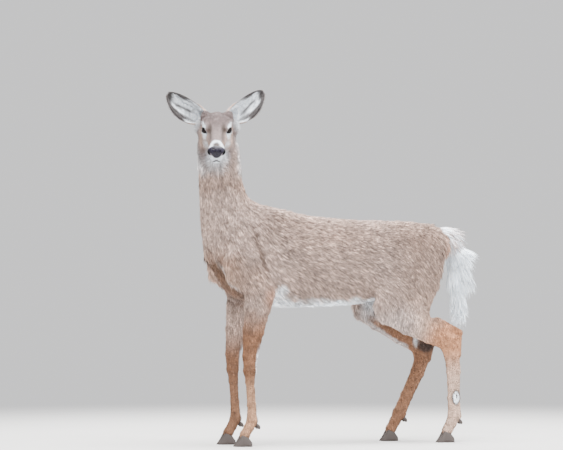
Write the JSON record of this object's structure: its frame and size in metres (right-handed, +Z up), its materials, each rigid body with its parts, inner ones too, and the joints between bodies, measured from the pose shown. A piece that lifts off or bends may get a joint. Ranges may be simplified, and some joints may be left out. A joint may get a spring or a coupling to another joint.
{
  "type": "white-tailed deer",
  "caption": "Life-size white-tailed deer doe in winter coat, standing alert on four hooves with the head turned to its left and the white tail half raised.",
  "frame": {"origin": "on the floor, under the middle of the whole animal's bounding box", "axes": "+Z up; the body points along -X, so the tail is towards +X; the animal's left side is -Y, and its head is turned towards -Y"},
  "size_m": [1.2266, 0.4072, 1.3528],
  "materials": {
    "coat_body": "grey-brown winter hair, flecked",
    "coat_leg": "short tan-orange hair",
    "coat_white": "long soft white hair",
    "coat_ear": "short hair, dark rim, pale inside",
    "nose_skin": "moist pebbled black skin",
    "eye": "wet dark glass",
    "horn": "worn black horn"
  },
  "bodies": {
    "root": {"trunk": "coat_body", "neck": "coat_body", "head": "coat_body", "ear_left": "coat_ear", "ear_right": "coat_ear", "tail": "coat_white", "nose": "nose_skin", "eye_left": "eye", "eye_right": "eye", "foreleg_left_upper": "coat_leg", "foreleg_left_cannon": "coat_leg", "foreleg_left_pastern": "coat_leg", "foreleg_left_hoof_left": "horn", "foreleg_left_dewclaw_left": "horn", "foreleg_left_hoof_right": "horn", "foreleg_left_dewclaw_right": "horn", "foreleg_right_upper": "coat_leg", "foreleg_right_cannon": "coat_leg", "foreleg_right_pastern": "coat_leg", "foreleg_right_hoof_left": "horn", "foreleg_right_dewclaw_left": "horn", "foreleg_right_hoof_right": "horn", "foreleg_right_dewclaw_right": "horn", "hindleg_left_upper": "coat_leg", "hindleg_left_cannon": "coat_leg", "hindleg_left_pastern": "coat_leg", "hindleg_left_hoof_left": "horn", "hindleg_left_dewclaw_left": "horn", "hindleg_left_hoof_right": "horn", "hindleg_left_dewclaw_right": "horn", "hindleg_right_upper": "coat_leg", "hindleg_right_cannon": "coat_leg", "hindleg_right_pastern": "coat_leg", "hindleg_right_hoof_left": "horn", "hindleg_right_dewclaw_left": "horn", "hindleg_right_hoof_right": "horn", "hindleg_right_dewclaw_right": "horn"}
  },
  "joints": []
}
